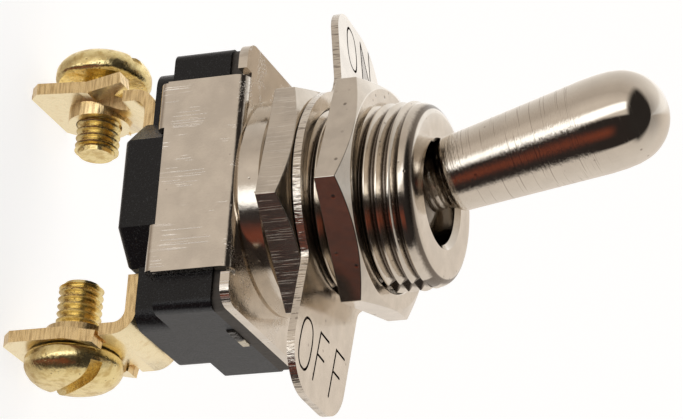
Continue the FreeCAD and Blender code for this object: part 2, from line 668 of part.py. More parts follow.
def rivet(leg):
    """Rivet at the OFF end: head inside, upset tail on the terminal's leg."""
    shank = cyl(RIVET_R, PAD_BACK - LEG, STRIP_TOP, RIVET_X)
    head = cyl(RIVET_HEAD_R, STRIP_TOP, STRIP_TOP + RIVET_HEAD, RIVET_X)
    rim = [e for e in head.Edges if abs(e.BoundBox.ZMin - STRIP_TOP - RIVET_HEAD) < 1e-6]
    head = head.makeChamfer(RIVET_EDGE, rim)
    low = PAD_BACK - LEG - RIVET_TAIL
    tail = cyl(RIVET_TAIL_R, low, PAD_BACK - LEG, RIVET_X)
    rim = [e for e in tail.Edges if abs(e.BoundBox.ZMax - low) < 1e-6]
    tail = tail.makeChamfer(2 * RIVET_EDGE, rim).cut(leg)
    return shank.fuse(head).fuse(tail).removeSplitter()


def ear(flag_x, side):
    """Sheared corner of the flag, lifted towards the screw's head."""
    low = PAD_BACK - SLIT_DROP - SLIT_WIDTH - EAR_LENGTH
    ys = sorted((side * SLIT_INNER_Y, side * TERMINAL_HALF_Y))
    tab = box(flag_x - LEG / 2, flag_x + LEG / 2, ys[0], ys[1], low - LEG / 4, low + EAR_LENGTH)
    tab.rotate(V(flag_x + LEG / 2, 0, low), V(0, 1, 0), EAR_LIFT)
    return tab.cut(cyl_x(SCREW_HEAD_R + EAR_PLAY, flag_x + LEG / 2, flag_x + 3, SCREW_Z))


def terminal(path, bends, flag_x):
    """Stamped leg and flag at the OFF end, screw hole and collar included."""
    body = bent_sheet(path, bends, LEG, TERMINAL_HALF_Y)
    high = PAD_BACK - SLIT_DROP
    low = high - SLIT_WIDTH - EAR_LENGTH
    for side in (-1, 1):
        ys = sorted((side * SLIT_INNER_Y, side * (TERMINAL_HALF_Y + 1)))
        body = body.cut(box(BLOCK_HALF_X, path[-1][0] + 2, ys[0], ys[1], low, high))
        body = body.fuse(ear(flag_x, side))
    reach = path[-1][0] + LEG
    for side in (-1, 1):
        clip = Part.makeBox(2 * LEG + 2, 2 * CORNER_CLIP, 2 * CORNER_CLIP,
                            V(reach - 2 * LEG - 1, -CORNER_CLIP, -CORNER_CLIP))
        clip.rotate(V(0, 0, 0), V(1, 0, 0), 45)
        clip.translate(V(0, side * TERMINAL_HALF_Y, TERMINAL_END))
        body = body.cut(clip)
    collar = cyl_x(NECK_COLLAR_R, flag_x - LEG / 2 - NECK_COLLAR, flag_x, SCREW_Z)
    body = body.fuse(collar)
    body = body.cut(cyl_x(SCREW_R + SCREW_PLAY, flag_x - 3, flag_x + 3, SCREW_Z))
    hole = cyl(RIVET_R + HOLE_PLAY, PAD_BACK - LEG - 1, PAD_BACK + 1, RIVET_X)
    return body.cut(hole).removeSplitter()


def off_terminal():
    z = PAD_BACK - LEG / 2
    path = [(BLOCK_HALF_X + LEG_GAP, z), (OFF_FLAG_X, z), (OFF_FLAG_X, TERMINAL_END)]
    return terminal(path, [OFF_BEND], OFF_FLAG_X)


def on_terminal():
    z = PAD_BACK - LEG / 2
    path = [(BLOCK_HALF_X + LEG_GAP, z), (ON_KNEE_X, z), (ON_KNEE_X, PAD_BACK - ON_KNEE_DROP),
            (ON_FLAG_X, PAD_BACK - ON_FLAG_DROP), (ON_END_X, TERMINAL_END)]
    return terminal(path, [ON_BEND, ON_SWEEP, ON_SWEEP], ON_FLAG_X + 0.02)


def screw(seat_x, slot_turn):
    """Slotted screw along +X with its head's underside at seat_x."""
    crown = V(SCREW_CROWN_R, 0, SCREW_HEAD * 0.93)
    top = V(0, 0, SCREW_HEAD)
    under = V(SCREW_HEAD_R * 0.93, 0, 0)
    rim = V(SCREW_HEAD_R, 0, SCREW_RIM)
    low_rim = V(SCREW_HEAD_R, 0, SCREW_RIM * 0.35)
    shoulder = V(SCREW_HEAD_R * 0.9, 0, SCREW_HEAD * 0.72)
    edges = [Part.makeLine(V(0, 0, 0), under), Part.makeLine(under, low_rim),
             Part.makeLine(low_rim, rim), Part.Arc(rim, shoulder, crown).toShape(),
             Part.makeLine(crown, top), Part.makeLine(top, V(0, 0, 0))]
    head = Part.Face(Part.Wire(edges)).revolve(V(0, 0, 0), V(0, 0, 1), 360)
    slot = box(-SCREW_HEAD_R - 1, SCREW_HEAD_R + 1, -SCREW_SLOT / 2, SCREW_SLOT / 2,
               SCREW_HEAD - SCREW_SLOT_DEPTH, SCREW_HEAD + 1)
    shank = cyl(SCREW_R, -SCREW_LENGTH, 0)
    end = [e for e in shank.Edges if abs(e.BoundBox.ZMax + SCREW_LENGTH) < 1e-6]
    body = head.cut(slot).fuse(shank.makeChamfer(0.3, end)).removeSplitter()
    body.rotate(V(0, 0, 0), V(0, 0, 1), slot_turn)
    body.rotate(V(0, 0, 0), V(0, 1, 0), 90)
    body.translate(V(seat_x, 0, SCREW_Z))
    return body


def build():
    dome, shelf_top, contact_x = fixed_contact()
    off, on = off_terminal(), on_terminal()
    return {
        "housing": housing(),
        "insulator_sheet": insulator_sheet(),
        "frame": frame(),
        "bushing": bushing(),
        "rear_nut": nut(REAR_NUT_BACK, REAR_NUT_TURN),
        "front_nut": nut(FRONT_NUT_BACK, FRONT_NUT_TURN),
        "position_plate": position_plate(),
        "lever": tilted(lever_upright()),
        "lever_pin": tilted(cyl_y(PIN_R, PIN_HALF_LENGTH, 0)),
        "lever_spring": tilted(spring_upright()),
        "plunger": tilted(plunger_upright()),
        "rocker": rocked(rocker_level()),
        "rocker_contact": rocked(button_level()),
        "fixed_contact": dome,
        "fixed_strip": fixed_strip(shelf_top, contact_x),
        "cradle": cradle(),
        "off_terminal": off,
        "on_terminal": mirrored(on),
        "off_rivet": rivet(off),
        "on_rivet": mirrored(rivet(on)),
        "off_screw": screw(OFF_HEAD_X, OFF_SLOT_TURN),
        "on_screw": mirrored(screw(ON_HEAD_X, ON_SLOT_TURN)),
        "end_lug": end_lug(),
    }


for name, shape in build().items():
    solids = shape.Solids
    print(name, "solids", len(solids), "valid", shape.isValid(), "volume %.2f" % shape.Volume)
    shape = solids[0] if len(solids) == 1 else shape
    shape.exportStep("parts/%s.step" % name)
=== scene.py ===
# %% [markdown]
# # A bat-handle toggle switch
# The switch has a polished lever in a threaded bushing, two hex nuts with a
# legend plate between them, a folded steel saddle over a black moulding, and
# two brass screw terminals. The solids come in with their joints, so each
# piece made here sits where a solid says and rides on the same body. Where a
# solid already has the right shape, it only gets a finish.

# %% Read the solids and keep their box
import bpy
import bmesh
import math
from mathutils import Matrix, Vector


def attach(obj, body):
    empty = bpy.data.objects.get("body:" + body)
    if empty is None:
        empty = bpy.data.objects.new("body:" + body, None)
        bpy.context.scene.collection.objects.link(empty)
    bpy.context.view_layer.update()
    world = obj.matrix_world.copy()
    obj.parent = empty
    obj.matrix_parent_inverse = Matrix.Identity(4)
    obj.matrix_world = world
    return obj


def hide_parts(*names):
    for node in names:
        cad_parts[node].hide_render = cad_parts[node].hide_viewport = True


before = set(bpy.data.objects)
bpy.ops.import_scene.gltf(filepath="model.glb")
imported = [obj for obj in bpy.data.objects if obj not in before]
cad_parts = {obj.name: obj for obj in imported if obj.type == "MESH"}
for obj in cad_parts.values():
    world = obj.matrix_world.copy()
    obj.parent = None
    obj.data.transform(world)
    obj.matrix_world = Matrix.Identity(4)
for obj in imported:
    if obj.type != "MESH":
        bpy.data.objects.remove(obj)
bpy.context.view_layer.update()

MM = 0.001


# %% [markdown]
# ## The view
# The photograph shows the switch lying on its side through a long lens. A
# camera can be aimed by angles, but for a part that lies askew it is easier
# to write down which way the picture's right and up point, and to square
# those two directions into a frame.

# %% Camera
PICTURE_RIGHT = Vector((-0.064, 0.3632, 0.9295))
PICTURE_UP = Vector((-0.9157, -0.3917, 0.09))
CAMERA_AT = Vector((0.07542, -0.15982, 0.06429))
FOCAL_LENGTH, SENSOR_WIDTH, NEAREST = 158.13, 36.0, 0.01

back = PICTURE_RIGHT.cross(PICTURE_UP).normalized()
up = back.cross(PICTURE_RIGHT).normalized()
right = PICTURE_RIGHT.normalized()
lens = bpy.data.cameras.new("view")
lens.lens = FOCAL_LENGTH
lens.sensor_width = SENSOR_WIDTH
lens.clip_start = NEAREST
camera = bpy.data.objects.new("view", lens)
bpy.context.scene.collection.objects.link(camera)
turn = Matrix((right, up, back)).transposed().to_4x4()
camera.matrix_world = Matrix.Translation(CAMERA_AT) @ turn
bpy.context.scene.camera = camera
bpy.context.scene.view_settings.view_transform = "Standard"
print("camera looks along", [round(v, 3) for v in -back])

# %% [markdown]
# ## Shader sums
# A finish is easier to read as sums than as wires. A Socket holds one output
# of a node, and the usual signs add the Math, Vector Math or Mix node that
# the kind of socket needs. Everything else comes from one method, node.

# %% A socket that can be used in sums
# Places of the colour sockets on a Mix node.
MIX_FACTOR, MIX_FIRST, MIX_SECOND, MIX_RESULT = 0, 6, 7, 2


class Socket:
    """One output of a node sheet, ready for + - * / and for ramps."""

    def __init__(self, sheet, out):
        self.sheet, self.out = sheet, out

    def _sum(self, operation, first, second):
        terms = {0: first, 1: second}
        if self.out.type == "VALUE":
            return self.sheet.node("ShaderNodeMath", {"operation": operation}, terms)
        if self.out.type == "VECTOR":
            return self.sheet.node("ShaderNodeVectorMath", {"operation": operation}, terms)
        blend = {"data_type": "RGBA", "blend_type": operation}
        colours = {MIX_FACTOR: 1.0, MIX_FIRST: first, MIX_SECOND: second}
        return self.sheet.node("ShaderNodeMix", blend, colours, MIX_RESULT)

    def __add__(self, other):
        return self._sum("ADD", self, other)

    __radd__ = __add__

    def __sub__(self, other):
        return self._sum("SUBTRACT", self, other)

    def __rsub__(self, other):
        return self._sum("SUBTRACT", other, self)

    def __mul__(self, other):
        return self._sum("MULTIPLY", self, other)

    __rmul__ = __mul__

    def __truediv__(self, other):
        return self._sum("DIVIDE", self, other)

    def __rtruediv__(self, other):
        return self._sum("DIVIDE", other, self)

    def maths(self, operation, other=0.0):
        return self._sum(operation, self, other)

    def step(self, low, high):
        """0 below low, 1 above high, a smooth climb between."""
        ends = {"Value": self, "From Min": low, "From Max": high, "To Min": 0.0, "To Max": 1.0}
        return self.sheet.node("ShaderNodeMapRange", {"interpolation_type": "SMOOTHSTEP"}, ends)

    def split(self):
        return [self.sheet.node("ShaderNodeSeparateXYZ", {}, {0: self}, i) for i in range(3)]


print("sockets add, subtract, multiply and divide")


# %% A sheet of nodes
class Sheet:
    """The nodes of one material or of the world."""

    def __init__(self, tree):
        self.tree = tree

    def node(self, kind, settings=None, values=None, output=0):
        made = self.tree.nodes.new(kind)
        for name, value in (settings or {}).items():
            if name == "stops":
                self.fill_ramp(made.color_ramp, value)
            else:
                setattr(made, name, value)
        for name, value in (values or {}).items():
            self.feed(made.inputs[name], value)
        return Socket(self, made.outputs[output])

    def feed(self, socket, value):
        if isinstance(value, Socket):
            self.tree.links.new(value.out, socket)
        elif socket.type == "RGBA":
            value = (value,) * 3 if isinstance(value, float) else value
            socket.default_value = (*value[:3], 1.0)
        elif socket.type == "VECTOR" and isinstance(value, (int, float)):
            socket.default_value = (value,) * 3
        else:
            socket.default_value = value

    def fill_ramp(self, ramp, stops):
        while len(ramp.elements) < len(stops):
            ramp.elements.new(0.5)
        for element, (place, colour) in zip(ramp.elements, stops):
            element.position = place
            element.color = (*colour, 1.0)

    def mix(self, mask, low, high):
        colours = {MIX_FACTOR: mask, MIX_FIRST: low, MIX_SECOND: high}
        return self.node("ShaderNodeMix", {"data_type": "RGBA"}, colours, MIX_RESULT)


print("node sheets ready")


# %% A metal or moulded finish
class Finish(Sheet):
    """A material with one Principled surface and coordinates in millimetres.

    Its plain colour holds until a pattern is shown in its place.
    """

    def __init__(self, name, metal, rough, colour):
        self.material = bpy.data.materials.new(name)
        self.material.use_nodes = True
        super().__init__(self.material.node_tree)
        self.surface = self.tree.nodes["Principled BSDF"]
        self.show("Metallic", metal)
        self.show("Roughness", rough)
        self.show("Base Color", colour)
        self.place = self.node("ShaderNodeTexCoord", output="Object") * (1 / MM)

    def show(self, socket, value):
        self.feed(self.surface.inputs[socket], value)

    def grain(self, size, stretch=(1, 1, 1), detail=2.0, shift=0.0):
        """Noise with features of a size in millimetres, longer along a low stretch."""
        where = self.place * tuple(s / size for s in stretch) + shift
        values = {"Vector": where, "Scale": 1.0, "Detail": detail, "Roughness": 0.55}
        return self.node("ShaderNodeTexNoise", {"noise_dimensions": "3D"}, values)

    def specks(self, size, share, shift=0.0):
        """Round specks: 1 at the middle of a chosen share of cells."""
        cells = {"Vector": self.place / size + shift, "Scale": 1.0}
        near = self.node("ShaderNodeTexVoronoi", {}, cells, "Distance")
        tint = self.node("ShaderNodeTexVoronoi", {}, cells, "Color")
        pick = self.node("ShaderNodeSeparateColor", {}, {0: tint}, "Red")
        return (1 - near.step(0.08, 0.3)) * (1 - pick.step(share - 0.02, share + 0.02))

    def facing(self):
        """How far the surface faces each way, without its sign."""
        normal = self.node("ShaderNodeNewGeometry", output="Normal")
        return normal.maths("ABSOLUTE").split()

    def relief(self, height, depth):
        """Dents of a depth in millimetres, with no change to the mesh."""
        bump = self.node("ShaderNodeBump", {}, {"Height": height, "Distance": depth * MM})
        self.show("Normal", bump)


print("finishes can show grain, specks and relief")

# %% [markdown]
# ## The painted world
# A polished cylinder mirrors a whole turn of the room, so its bands tell what
# stood around it: cream walls, a strip of white light, a dark side with a
# patch of brown in it, and a dark ceiling. Panels could stand there, but
# patches painted on the world are quicker, and the camera itself can be
# shown plain white instead. Directions are in degrees, round and up.

# %% Walls all round
DEGREES = 180 / math.pi
BLACK, WHITE = (0.0, 0.0, 0.0), (1.0, 1.0, 1.0)
# Compass direction, brightness and warmth.
WALLS = [(-180, 0.74, 0.06), (-150, 0.60, 0.10), (-132, 0.55, 0.11), (-110, 0.76, 0.10),
         (0, 0.72, 0.08), (60, 0.84, 0.06), (96, 0.84, 0.08), (115, 0.84, 0.09),
         (123, 1.2, 0.01), (136, 1.2, 0.01), (144, 0.98, 0.04), (180, 0.74, 0.06)]
UPPER_SHADE, LOWER_SHADE = 0.5, 0.62


def tone(value, warmth=0.07):
    return (value, value * (1 - warmth), value * (1 - 2 * warmth))


def window(value, low, high, soft):
    """1 between low and high, with edges that are soft to both sides."""
    return value.step(low - soft, low + soft) * (1 - value.step(high - soft, high + soft))


world = bpy.data.worlds.new("studio")
world.use_nodes = True
bpy.context.scene.world = world
studio = Sheet(world.node_tree)
east, north, height = studio.node("ShaderNodeTexCoord", output="Generated").split()
compass = north.maths("ARCTAN2", east) * DEGREES
lift = height.maths("ARCSINE") * DEGREES
stops = [((angle + 180) / 360, tone(value, warmth)) for angle, value, warmth in WALLS]
painted = studio.node("ShaderNodeValToRGB", {"stops": stops}, {0: compass / 360 + 0.5})
painted = studio.mix(lift.step(30, 88) * UPPER_SHADE, painted, BLACK)
painted = studio.mix(lift.step(-60, -25), painted * tone(LOWER_SHADE), painted)
print("walls painted in", len(WALLS), "stops")

# %% Patches of light and dark
WHITE_LIGHT = (1.9, 1.9, 1.9)
DARK_SIDE = (0.03, 0.024, 0.022)
DARK_CEILING = (0.03, 0.026, 0.024)
BROWN = (0.20, 0.052, 0.028)
STRIP_LEAN = 0.35

strip = window(compass + lift * STRIP_LEAN, -98, -78, 4) * window(lift, -55, 27, 6)
painted = studio.mix(strip, painted, WHITE_LIGHT)
dark_side = window(compass, -72, 0, 4) * (1 - lift.step(40, 60))
painted = studio.mix(dark_side, painted, DARK_SIDE)
ceiling = window(compass, -160, 12, 12) * lift.step(22, 38)
painted = studio.mix(ceiling, painted, DARK_CEILING)
brown_patch = window(compass, -49, -31, 10) * (1 - lift.step(2, 16))
painted = studio.mix(brown_patch, painted, BROWN)
to_camera = studio.node("ShaderNodeLightPath", output="Is Camera Ray")
background = world.node_tree.nodes["Background"]
studio.feed(background.inputs["Color"], studio.mix(to_camera, painted, WHITE))
print("world painted with", len(world.node_tree.nodes), "nodes")

# %% [markdown]
# ## Floor
# Under the switch is white paper. Most of its light is its own glow and the
# rest is caught from the room, so it stays near white and still takes a soft
# shadow. Mirrored rays go through it, because the lower bands on the metal
# belong to the painted world.

# %% Floor
FLOOR_SIZE = 4.0
LOWEST, FLOOR_GAP = -24.9, 0.01
FLOOR_Z = LOWEST * MM - FLOOR_GAP * MM
PAPER_GLOW = 0.78
PAPER_GREY = (0.5, 0.5, 0.5)

bpy.ops.mesh.primitive_plane_add(size=FLOOR_SIZE, location=(0, 0, FLOOR_Z))
floor = bpy.context.object
floor.name = "floor"
paper = bpy.data.materials.new("white paper")
paper.use_nodes = True
sheet = Sheet(paper.node_tree)
paper.node_tree.nodes.remove(paper.node_tree.nodes["Principled BSDF"])
glow = sheet.node("ShaderNodeEmission", {}, {"Color": WHITE, "Strength": PAPER_GLOW})
matt = sheet.node("ShaderNodeBsdfDiffuse", {}, {"Color": PAPER_GREY})
lit = sheet.node("ShaderNodeAddShader", {}, {0: glow, 1: matt})
clear = sheet.node("ShaderNodeBsdfTransparent")
mirrored = sheet.node("ShaderNodeLightPath", output="Is Glossy Ray")
face = sheet.node("ShaderNodeMixShader", {}, {0: mirrored, 1: lit, 2: clear})
sheet.feed(paper.node_tree.nodes["Material Output"].inputs["Surface"], face)
floor.data.materials.append(paper)
print("floor at", round(FLOOR_Z, 5))

# %% [markdown]
# ## Nickel
# All the bright parts carry the same warm nickel plate. What sets them apart
# is the surface under the plate: rolled sheet, a milled flat, a cast face, a
# turned handle. So one function gives the plate and its slow clouds, and
# each part adds its own marks.

# %% Nickel plate
WARM_NICKEL = (0.71, 0.65, 0.57)
PIT_BROWN = (0.12, 0.09, 0.07)
SCRATCH_WHITE = (0.95, 0.92, 0.88)


def shade(colour, factor):
    return tuple(c * factor for c in colour)


def nickel(name, rough, colour=WARM_NICKEL, cloud=0.10):
    finish = Finish(name, 1.0, rough, colour)
    clouds = finish.grain(1.6, detail=4.0).step(0.3, 0.7)
    finish.base = finish.mix(clouds, shade(colour, 1 - cloud), shade(colour, 1 + cloud * 0.4))
    return finish


print("nickel plate is", WARM_NICKEL)

# %% [markdown]
# ## Rolled sheet
# The saddle is folded from rolled and plated sheet. It shows a faint orange
# peel, a few dents, and bundles of fine scratches that all run along the
# bushing's axis. Stretched noise makes the lines, and a slower noise decides
# where a bundle lies, so no picture of scratches is needed.

# %% Nickel on rolled sheet
def nickel_sheet():
    finish = nickel("nickel sheet", 0.12)
    peel = finish.grain(0.13, detail=3.0)
    lines = finish.grain(0.09, (1, 1, 0.018), 0.0, 7.0).step(0.58, 0.66)
    bundles = finish.grain(1.9, (1, 1, 0.7), 1.0, 11.0).step(0.5, 0.58)
    scratches = lines * bundles
    dents = finish.specks(0.33, 0.015)
    wave = finish.grain(2.6, detail=1.0, shift=3.0)
    pale = finish.mix(scratches * 0.5, finish.base, SCRATCH_WHITE)
    finish.show("Base Color", finish.mix(dents * 0.5, pale, PIT_BROWN))
    finish.show("Roughness", peel * 0.12 + 0.06 + scratches * 0.2)
    finish.relief(wave * 0.5 + peel * 0.055 + dents * -0.05 + scratches * -0.06, 0.10)
    return finish.material


print("rolled sheet: peel, dents and scratches")

# %% [markdown]
# ## The two nuts
# The rear nut was milled, and the cutter's lines cross its flats. The front
# nut has satin flats with small pits. Both finishes are noise again: drawn
# out into lines for the one, and picked cells for the other.

# %% Milled and cast nickel
LINE_BROWN = (0.3, 0.25, 0.2)


def nickel_milled():
    finish = nickel("milled nickel", 0.2, shade(WARM_NICKEL, 0.97))
    x, y, z = finish.facing()
    flats = 1 - z.step(0.5, 0.8)
    cuts = finish.grain(0.05, (1, 1, 0.02), 2.0)
    bold = finish.grain(0.06, (1, 1, 0.02), 0.0, 4.0).step(0.66, 0.74)
    lined = finish.mix(cuts.step(0.5, 0.8) * 0.2, finish.base, LINE_BROWN)
    finish.show("Base Color", finish.mix(bold * flats * 0.1, lined, SCRATCH_WHITE))
    finish.show("Roughness", cuts * 0.22 + 0.06)
    finish.relief((cuts * 0.35 + bold * 0.2) * flats + finish.grain(2.0, shift=5.0) * 0.6, 0.02)
    return finish.material


def nickel_cast():
    finish = nickel("cast nickel", 0.16)
    pits = finish.specks(0.55, 0.14)
    fine = finish.grain(0.07, detail=3.0)
    finish.show("Base Color", finish.mix(pits * 0.7, finish.base, PIT_BROWN))
    finish.show("Roughness", fine * 0.14 + 0.08)
    finish.relief(finish.grain(1.5, shift=2.0) * 0.7 + pits * -0.4 + fine * 0.08, 0.03)
    return finish.material


print("nuts: milled lines behind, pitted satin in front")

# %% [markdown]
# ## Stamped plate
# The legend plate was sheared out of sheet. Its faces are smooth, and its
# edges show the torn streaks of the shear, so a mask of where the surface
# faces sideways lets the streaks through on the edges alone.

# %% Nickel on the legend plate
SHEAR_BROWN = (0.13, 0.10, 0.08)
PLATE_PIT = (0.14, 0.11, 0.09)


def nickel_plate():
    finish = nickel("nickel legend plate", 0.14, shade(WARM_NICKEL, 1.04))
    x, y, z = finish.facing()
    edge = 1 - z.step(0.3, 0.7)
    tears = finish.grain(0.11, (1, 1, 0.1), 2.0)
    fine = finish.grain(0.06, detail=3.0)
    pits = finish.specks(0.5, 0.08, 3.0)
    torn = finish.mix(edge * tears.step(0.54, 0.66) * 0.6, finish.base, SHEAR_BROWN)
    finish.show("Base Color", finish.mix(pits * 0.5, torn, PLATE_PIT))
    finish.show("Roughness", fine * 0.12 + 0.1)
    finish.relief(edge * tears * 0.7 + finish.grain(2.5, shift=1.0) * 0.8 + fine * 0.06, 0.05)
    return finish.material


print("legend plate: torn edges round smooth faces")

# %% [markdown]
# ## Threaded metal
# A plated thread is bright on its crests, and its roots and the keyway down its side are darkened
# with painted shade. Both can be found from the place alone: the roots by their distance from the
# axis, and the keyway by its distance from the plane that runs through the axis and the middle of
# the keyway.

# %% Nickel on the thread
GROOVE_ANGLE = math.radians(6.5)
PIT_AND_ROOT_SHADE = (0.10, 0.075, 0.055)
KEYWAY_HALF = 0.8


def nickel_thread():
    finish = nickel("threaded nickel", 0.1)
    x, y, z = finish.place.split()
    radius = (x * x + y * y).maths("SQRT")
    rough_edge = finish.grain(0.2, shift=8.0) * 0.12
    across = y * math.cos(GROOVE_ANGLE) - x * math.sin(GROOVE_ANGLE)
    keyway = window(across, -KEYWAY_HALF, KEYWAY_HALF, 0.1) * x.step(3, 4)
    keyway = keyway * (1 - radius.step(5.86, 5.92))
    hollow = (1 - (radius + rough_edge).step(5.6, 5.8)).maths("MAXIMUM", keyway)
    # The roots and the keyway are darkened with painted shade, in the same brown as the pits.
    root = radius.step(5.3, 5.4) * hollow
    pits = finish.specks(0.3, 0.06)
    fine = finish.grain(0.05, detail=3.0)
    finish.show("Base Color", finish.mix(pits * 0.6 + root * 0.85, finish.base, PIT_AND_ROOT_SHADE))
    finish.show("Roughness", fine * 0.12 + 0.05 + root * 0.15)
    finish.relief(finish.grain(0.8, shift=2.0) * 0.35 + pits * -0.3 + fine * 0.08, 0.03)
    return finish.material


# The dark in the roots and the keyway is painted shade.
print("thread: oil in the roots and the keyway")

# %% [markdown]
# ## Turned handle
# The lathe left fine rings along the bat, which fade towards its rounded end, and coarse ribs on
# the neck. The ball under the neck, down in the bushing, is darkened with painted shade. The
# handle leans, so its coordinates are turned upright about the pivot first, and then every mark
# is a matter of height along the handle.

# %% Nickel on the lever
TILT = math.radians(13.85)
PIVOT_Z = -1.0
WORN_BROWN = (0.20, 0.16, 0.12)
SHADED_BALL = (0.12, 0.10, 0.08)
RIBS = 16.0


def nickel_turned():
    finish = nickel("turned nickel", 0.06, WARM_NICKEL, 0.05)
    upright = {"Vector": finish.place - (0.0, 0.0, PIVOT_Z), "Angle": TILT}
    finish.place = finish.node("ShaderNodeVectorRotate", {"rotation_type": "Y_AXIS"}, upright)
    x, y, z = finish.place.split()
    rings = finish.grain(0.06, (0.15, 0.15, 1), 2.0)
    rare = finish.grain(0.08, (0.02, 0.02, 1), 0.0, 9.0).step(0.66, 0.74)
    pits = finish.specks(0.4, 0.03)
    # Below the neck the ball is darkened with painted shade, where it sits down in the bushing.
    ball_shade = 1 - z.step(3.4, 4.3)
    ribbed = (z * RIBS).maths("SINE") * (1 - z.step(5.0, 6.0))
    turned = 1 - z.step(13.5, 16)
    worn = finish.mix(pits * 0.6 + rare * turned * 0.35, finish.base, WORN_BROWN)
    finish.show("Base Color", finish.mix(ball_shade * 0.85, worn, SHADED_BALL))
    finish.show("Roughness", rings * 0.08 + 0.02 + rare * 0.08 + ball_shade * 0.1)
    marks = rings * 1.6 * turned + ribbed * 0.6 + pits * -0.5
    finish.relief(marks + finish.grain(2.5) * 0.9, 0.012)
    return finish.material


print("lever: rings square to an axis that leans", round(math.degrees(TILT), 2), "degrees")

# %% [markdown]
# ## Black moulding and fibre
# The body is a phenolic moulding: glossy where it left the tool, and rougher and pebbled on its
# two ends, which are painted a paler grey as painted sheen. One surface does for both, because
# the ends are simply where the surface faces along X. The sheet under the saddle is pressed
# fibre, and the struck letters are dark brown inside.

# %% Black parts
PLAIN_MOULDING = (0.012, 0.012, 0.013)
SKIN_BLACK, SKIN_GREY = (0.006, 0.006, 0.007), (0.07, 0.072, 0.076)
SHEEN_DARK, SHEEN_PALE = (0.022, 0.023, 0.025), (0.085, 0.088, 0.092)
MOULDING_GLINT = 0.3


def black_moulding():
    finish = Finish("black moulding", 0.0, 0.3, PLAIN_MOULDING)
    x, y, z = finish.facing()
    end = x.step(0.75, 0.95)
    pebbles = finish.grain(0.13, detail=3.0)
    dust = finish.specks(0.22, 0.3)
    fine = finish.grain(0.04, detail=2.0, shift=5.0)
    skin = finish.mix(pebbles.step(0.55, 0.75) * 0.3 + dust * 0.35, SKIN_BLACK, SKIN_GREY)
    # The ends are painted a paler grey as painted sheen, mottled by a fine grain.
    end_sheen = finish.mix(fine.step(0.35, 0.65), SHEEN_DARK, SHEEN_PALE)
    finish.show("Base Color", finish.mix(end, skin, end_sheen))
    finish.show("Roughness", pebbles * 0.3 + 0.1 + end * 0.25)
    finish.show("Specular IOR Level", MOULDING_GLINT)
    finish.relief(pebbles * 0.8 + fine * 0.25 + finish.grain(1.5, shift=2.0), 0.03)
    return finish.material


# The paler grey of the ends is painted sheen.
print("moulding: glossy sides and bloomed ends")

# %% Fibre and struck letters
PLAIN_FIBRE, PLAIN_LETTER = (0.05, 0.042, 0.036), (0.08, 0.055, 0.04)
FIBRE_DARK, FIBRE_PALE = (0.025, 0.022, 0.02), (0.09, 0.075, 0.06)
LETTER_DARK, LETTER_PALE = (0.03, 0.02, 0.015), (0.12, 0.08, 0.055)


def dark_fibre():
    finish = Finish("pressed fibre", 0.0, 0.7, PLAIN_FIBRE)
    strands = finish.grain(0.15, (1, 1, 0.3), 4.0)
    finish.show("Base Color", finish.mix(strands, FIBRE_DARK, FIBRE_PALE))
    finish.relief(strands, 0.04)
    return finish.material


def groove_dark():
    finish = Finish("stamped letter", 1.0, 0.5, PLAIN_LETTER)
    mottle = finish.grain(0.1, detail=3.0)
    finish.show("Base Color", finish.mix(mottle, LETTER_DARK, LETTER_PALE))
    return finish.material


print("fibre and letter dirt defined")

# %% [markdown]
# ## Brass
# The terminals are bare brass sheet, pale and soft on the broad faces, with
# torn streaks across the sheared edges. The screws are turned brass of a
# deeper yellow, with a hammered skin and dark nicks.

# %% Brass sheet
PALE_BRASS, TARNISH = (0.99, 0.87, 0.58), (0.74, 0.54, 0.26)
TORN_PALE, TORN_DARK = (0.88, 0.64, 0.31), (0.46, 0.28, 0.10)


def brass_sheet():
    finish = Finish("brass sheet", 1.0, 0.25, PALE_BRASS)
    x, y, z = finish.facing()
    edge = 1 - x.step(0.35, 0.75)
    tears = finish.grain(0.14, (0.1, 1, 1), 2.0)
    fine = finish.grain(0.05, detail=3.0)
    spots = finish.grain(0.5, detail=3.0, shift=4.0)
    broad = finish.mix(spots.step(0.5, 0.75) * 0.4, PALE_BRASS, TARNISH)
    torn = finish.mix(tears.step(0.38, 0.68), TORN_PALE, TORN_DARK)
    finish.show("Base Color", finish.mix(edge * 0.75, broad, torn))
    finish.show("Roughness", fine * 0.2 + 0.18)
    soft_wave = finish.grain(1.2, shift=1.0) * 0.8
    finish.relief(edge * tears * 0.6 + fine * 0.08 + soft_wave, 0.04)
    return finish.material


print("brass sheet is", PALE_BRASS)

# %% Turned brass
SCREW_BRASS, SCREW_STAIN = (0.90, 0.75, 0.38), (0.58, 0.40, 0.13)
NICK_BROWN = (0.3, 0.19, 0.07)


def brass_turned():
    finish = Finish("turned brass", 1.0, 0.25, SCREW_BRASS)
    skin = finish.grain(0.16, detail=3.0)
    spots = finish.grain(0.6, detail=3.0, shift=2.0)
    nicks = finish.specks(0.3, 0.3)
    stained = finish.mix(spots.step(0.42, 0.7) * 0.7, SCREW_BRASS, SCREW_STAIN)
    finish.show("Base Color", finish.mix(nicks * 0.6, stained, NICK_BROWN))
    finish.show("Roughness", skin * 0.2 + 0.14)
    finish.relief(finish.grain(0.9, shift=6.0) * 1.2 + nicks * -0.3 + skin * 0.3, 0.05)
    return finish.material


print("screw brass is", SCREW_BRASS)

# %% [markdown]
# ## Small metals
# The lug under the saddle is bright only in a band across it, and the rest of it is darkened with
# painted shade, where it lies under the saddle. The pin, the spring, the blade, the contacts and
# the strips are hidden inside, so they share one plain finish with a fine grain.

# %% Lug and plain metals
PLAIN_LUG = (0.6, 0.55, 0.45)
LUG_SHADE, LUG_LIT = (0.03, 0.028, 0.026), (0.62, 0.57, 0.46)


